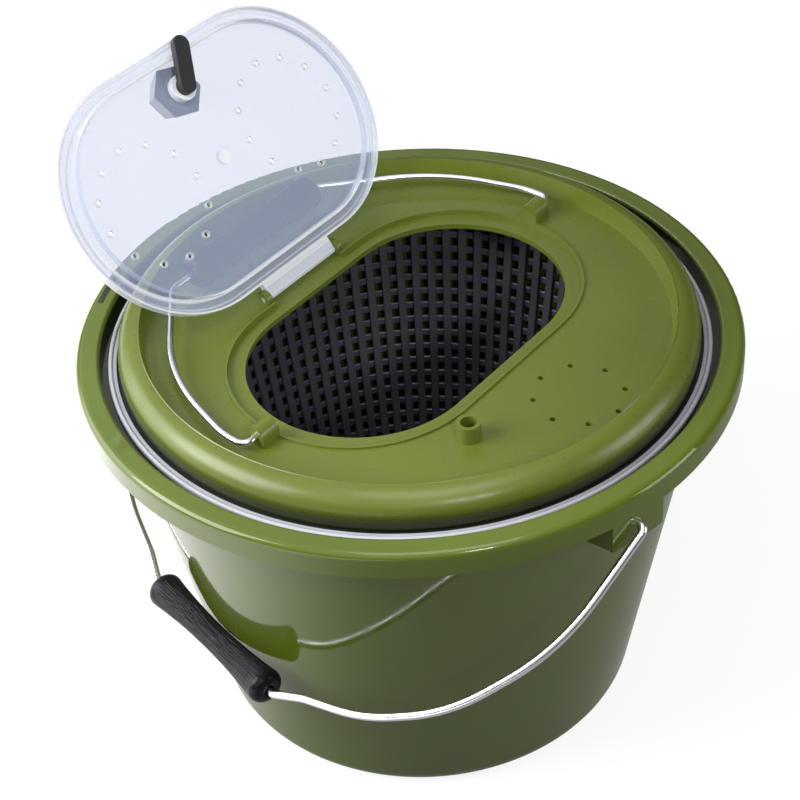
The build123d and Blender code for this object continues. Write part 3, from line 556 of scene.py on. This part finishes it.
for name, grid, closed in (
    ("basket_floor_bars", bars(along_y, to_x, to_z, floor_bar_width, 0, 0.0016, 0.0003), False),
    ("basket_floor_cross_bars",
     bars(along_x, to_y, to_z, floor_bar_width, 0.0014, floor_top_z, 0.0003), False),
    ("basket_floor_rim", floor_rim, True),
):
    piece = mesh_of(name, "lid", grid, closed, 25.0)
    piece.data.materials.append(basket_plastic)
    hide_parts("basket_floor")


# ================= hatch =================
# One clear polypropylene moulding, milky and slightly blue. Its rim, the rib that plugs the opening and
# the hinge plate are whiter and less clear than the thin panel, partly from their greater depth of plastic
# and partly as painted highlight along their edges; the air holes and the gate mark are painted highlights.
def band(distance, low, high, soft):
    """1 where a distance is between low and high, with soft sides."""
    return distance.ramp(low - soft, low) * distance.ramp(high, high + soft, 1.0, 0.0)


hinge_y, hinge_z, open_cos, open_sin = 0.0645, 0.2025, 0.642788, 0.766044
half_width, half_length, middle = 0.0581, 0.0943, 0.0645
ring_at, ring_radius, ring_holes, hole_edge = 0.047, 0.0283, 12, (0.0014, 0.0021)
gate_edge = (0.0030, 0.0036)

# how far a point lies from the hinge along the panel, and in from the panel's oval edge
hatch_clear, place = new_finish("hatch_clear", "hatch_panel", IOR=1.49)
across = place.along((1, 0, 0))
past_hinge = place.along((0, open_cos, open_sin)) - (hinge_y * open_cos + hinge_z * open_sin)
from_middle = past_hinge - middle
beyond = (abs(across) - (half_length - half_width)).most(0.0)
inset = half_width - (beyond ** 2 + from_middle ** 2) ** 0.5

rim = band(inset, -0.001, 0.0008, 0.0002).most(band(inset, 0.0021, 0.0026, 0.0003) * 0.5)
plug = band(inset, 0.0059, 0.0074, 0.00025)
hinge_plate = past_hinge.ramp(0.0050, 0.0062, 1.0, 0.0)
hinge_edge = band(past_hinge, 0.0040, 0.0052, 0.0004).most(band(past_hinge, -0.0030, -0.0016, 0.0004))

# each ring of air holes: the nearest hole's bearing, how far it is, and the moulding's gate
ring_x = abs(across) - ring_at
steps = from_middle.math("ARCTAN2", from_middle, ring_x) / (2 * math.pi / ring_holes)
nearest = steps.math("ROUND", steps) * (2 * math.pi / ring_holes)
hole_far = (
    (ring_x - nearest.math("COSINE", nearest) * ring_radius) ** 2
    + (from_middle - nearest.math("SINE", nearest) * ring_radius) ** 2
) ** 0.5
hole = hole_far.ramp(*hole_edge, 1.0, 0.0)
gate = (across ** 2 + from_middle ** 2).ramp(gate_edge[0] ** 2, gate_edge[1] ** 2, 1.0, 0.0)

# painted highlight, partly real depth: rim edges, plug rib, hinge plate and its edges, air holes and gate
# turn whiter and less clear
depth_and_glint = (rim * 0.95).most(plug * 0.85).most(hinge_plate * 0.62).most(hinge_plate * hinge_edge * 0.9)
depth_and_glint = depth_and_glint.most(hole * 0.7).most(gate)
sheen = place.node("Fresnel", {}, {"IOR": 1.49})
alpha = (depth_and_glint * 0.45 + grain(place, 22.0, 3.0) * 0.04 + 0.255 + sheen * 0.15).least(1.0)
feed(hatch_clear, "Base Color", depth_and_glint.mixed((0.60, 0.67, 0.90), (0.95, 0.97, 1.0)))
feed(hatch_clear, "Alpha", alpha)
feed(hatch_clear, "Roughness", grain(place, 260.0, 4.0).ramp(0.3, 0.8, 0.08, 0.20))
feed(hatch_clear, "Normal", relief(grain(place, 35.0, 2.0), 0.00010))

# ================= latch =================
# A white flanged bush holds the spindle. The black tongue is matt and pitted from the mould; the knob
# on the outside is smoother.
bush_white, place = new_finish("bush_white", "latch_bush", IOR=1.5)
whites = grain(place, 200.0).ramp(0.3, 0.7).mixed((0.78, 0.80, 0.82), (0.88, 0.90, 0.92))
feed(bush_white, "Base Color", whites)
feed(bush_white, "Roughness", grain(place, 500.0).ramp(0.3, 0.7, 0.25, 0.4))
feed(bush_white, "Normal", relief(grain(place, 700.0), 0.00004))


def pitted_black(name, node_name, colour, rough, pits):
    """Black plastic with a fine pitted tooth of that depth in metres."""
    material, place = new_finish(name, node_name, IOR=1.48)
    tooth = grain(place, 1700.0, 4.0, 0.6)
    feed(material, "Base Color", tooth.ramp(0.35, 0.7).mixed(colour, toned(colour, 1.7)))
    feed(material, "Roughness", tooth.ramp(0.3, 0.7, rough - 0.08, rough + 0.08))
    feed(material, "Normal", relief(tooth, pits))


pitted_black("tongue_black", "latch_tongue", (0.010, 0.010, 0.011), 0.58, 0.00010)
pitted_black("knob_black", "latch_knob", (0.020, 0.021, 0.026), 0.30, 0.00003)
